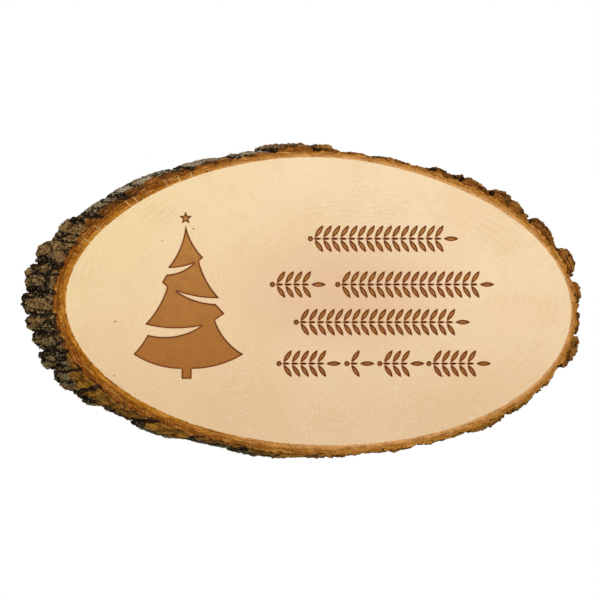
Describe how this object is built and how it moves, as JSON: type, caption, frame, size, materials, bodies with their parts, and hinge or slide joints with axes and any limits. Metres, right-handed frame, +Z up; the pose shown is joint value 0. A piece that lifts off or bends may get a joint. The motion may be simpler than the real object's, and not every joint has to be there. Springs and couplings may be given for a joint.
{
  "type": "wall plaque",
  "caption": "Oval bark-edged wood slice that hangs on a wall, its sanded face engraved with a fir tree and rows of leaf sprigs, with a keyhole hanger plate let into its back.",
  "frame": {"origin": "where the axis of the wall screw crosses the plaque's back plane once it hangs, at the top end of the keyhole slot", "axes": "+X to the right along the oval's long axis as seen from the front, +Y into the wall (the engraved face looks along -Y), +Z up as it hangs"},
  "size_m": [0.3002, 0.012, 0.1681],
  "materials": {
    "sanded_wood": "sanded, unvarnished",
    "inner_bark": "rough, fibrous",
    "outer_bark": "rough, fissured",
    "plated_steel": "zinc plated",
    "screw_steel": "zinc plated"
  },
  "bodies": {
    "root": {"wood_slice": "sanded_wood", "inner_bark": "inner_bark", "bark_scale_right_1": "outer_bark", "bark_scale_right_2": "outer_bark", "bark_scale_right_3": "outer_bark", "bark_scale_upper_right_1": "outer_bark", "bark_scale_upper_right_2": "outer_bark", "bark_scale_upper_right_3": "outer_bark", "bark_scale_upper_right_4": "outer_bark", "bark_scale_top_1": "outer_bark", "bark_scale_top_2": "outer_bark", "bark_scale_top_3": "outer_bark", "bark_scale_top_4": "outer_bark", "bark_scale_top_5": "outer_bark", "bark_scale_upper_left_1": "outer_bark", "bark_scale_upper_left_2": "outer_bark", "bark_scale_upper_left_3": "outer_bark", "bark_scale_upper_left_4": "outer_bark", "bark_scale_left_1": "outer_bark", "bark_scale_left_2": "outer_bark", "bark_scale_left_3": "outer_bark", "bark_scale_left_4": "outer_bark", "bark_scale_left_5": "outer_bark", "bark_scale_left_6": "outer_bark", "bark_scale_lower_left_1": "outer_bark", "bark_scale_lower_left_2": "outer_bark", "bark_scale_lower_left_3": "outer_bark", "bark_scale_lower_left_4": "outer_bark", "bark_scale_lower_left_5": "outer_bark", "bark_scale_bottom_1": "outer_bark", "bark_scale_bottom_2": "outer_bark", "bark_scale_bottom_3": "outer_bark", "bark_scale_bottom_4": "outer_bark", "bark_scale_lower_right_1": "outer_bark", "bark_scale_lower_right_2": "outer_bark", "bark_scale_lower_right_3": "outer_bark", "bark_scale_lower_right_4": "outer_bark", "bark_scale_lower_right_5": "outer_bark", "hanger_plate": "plated_steel", "hanger_screws": "screw_steel"}
  },
  "joints": []
}
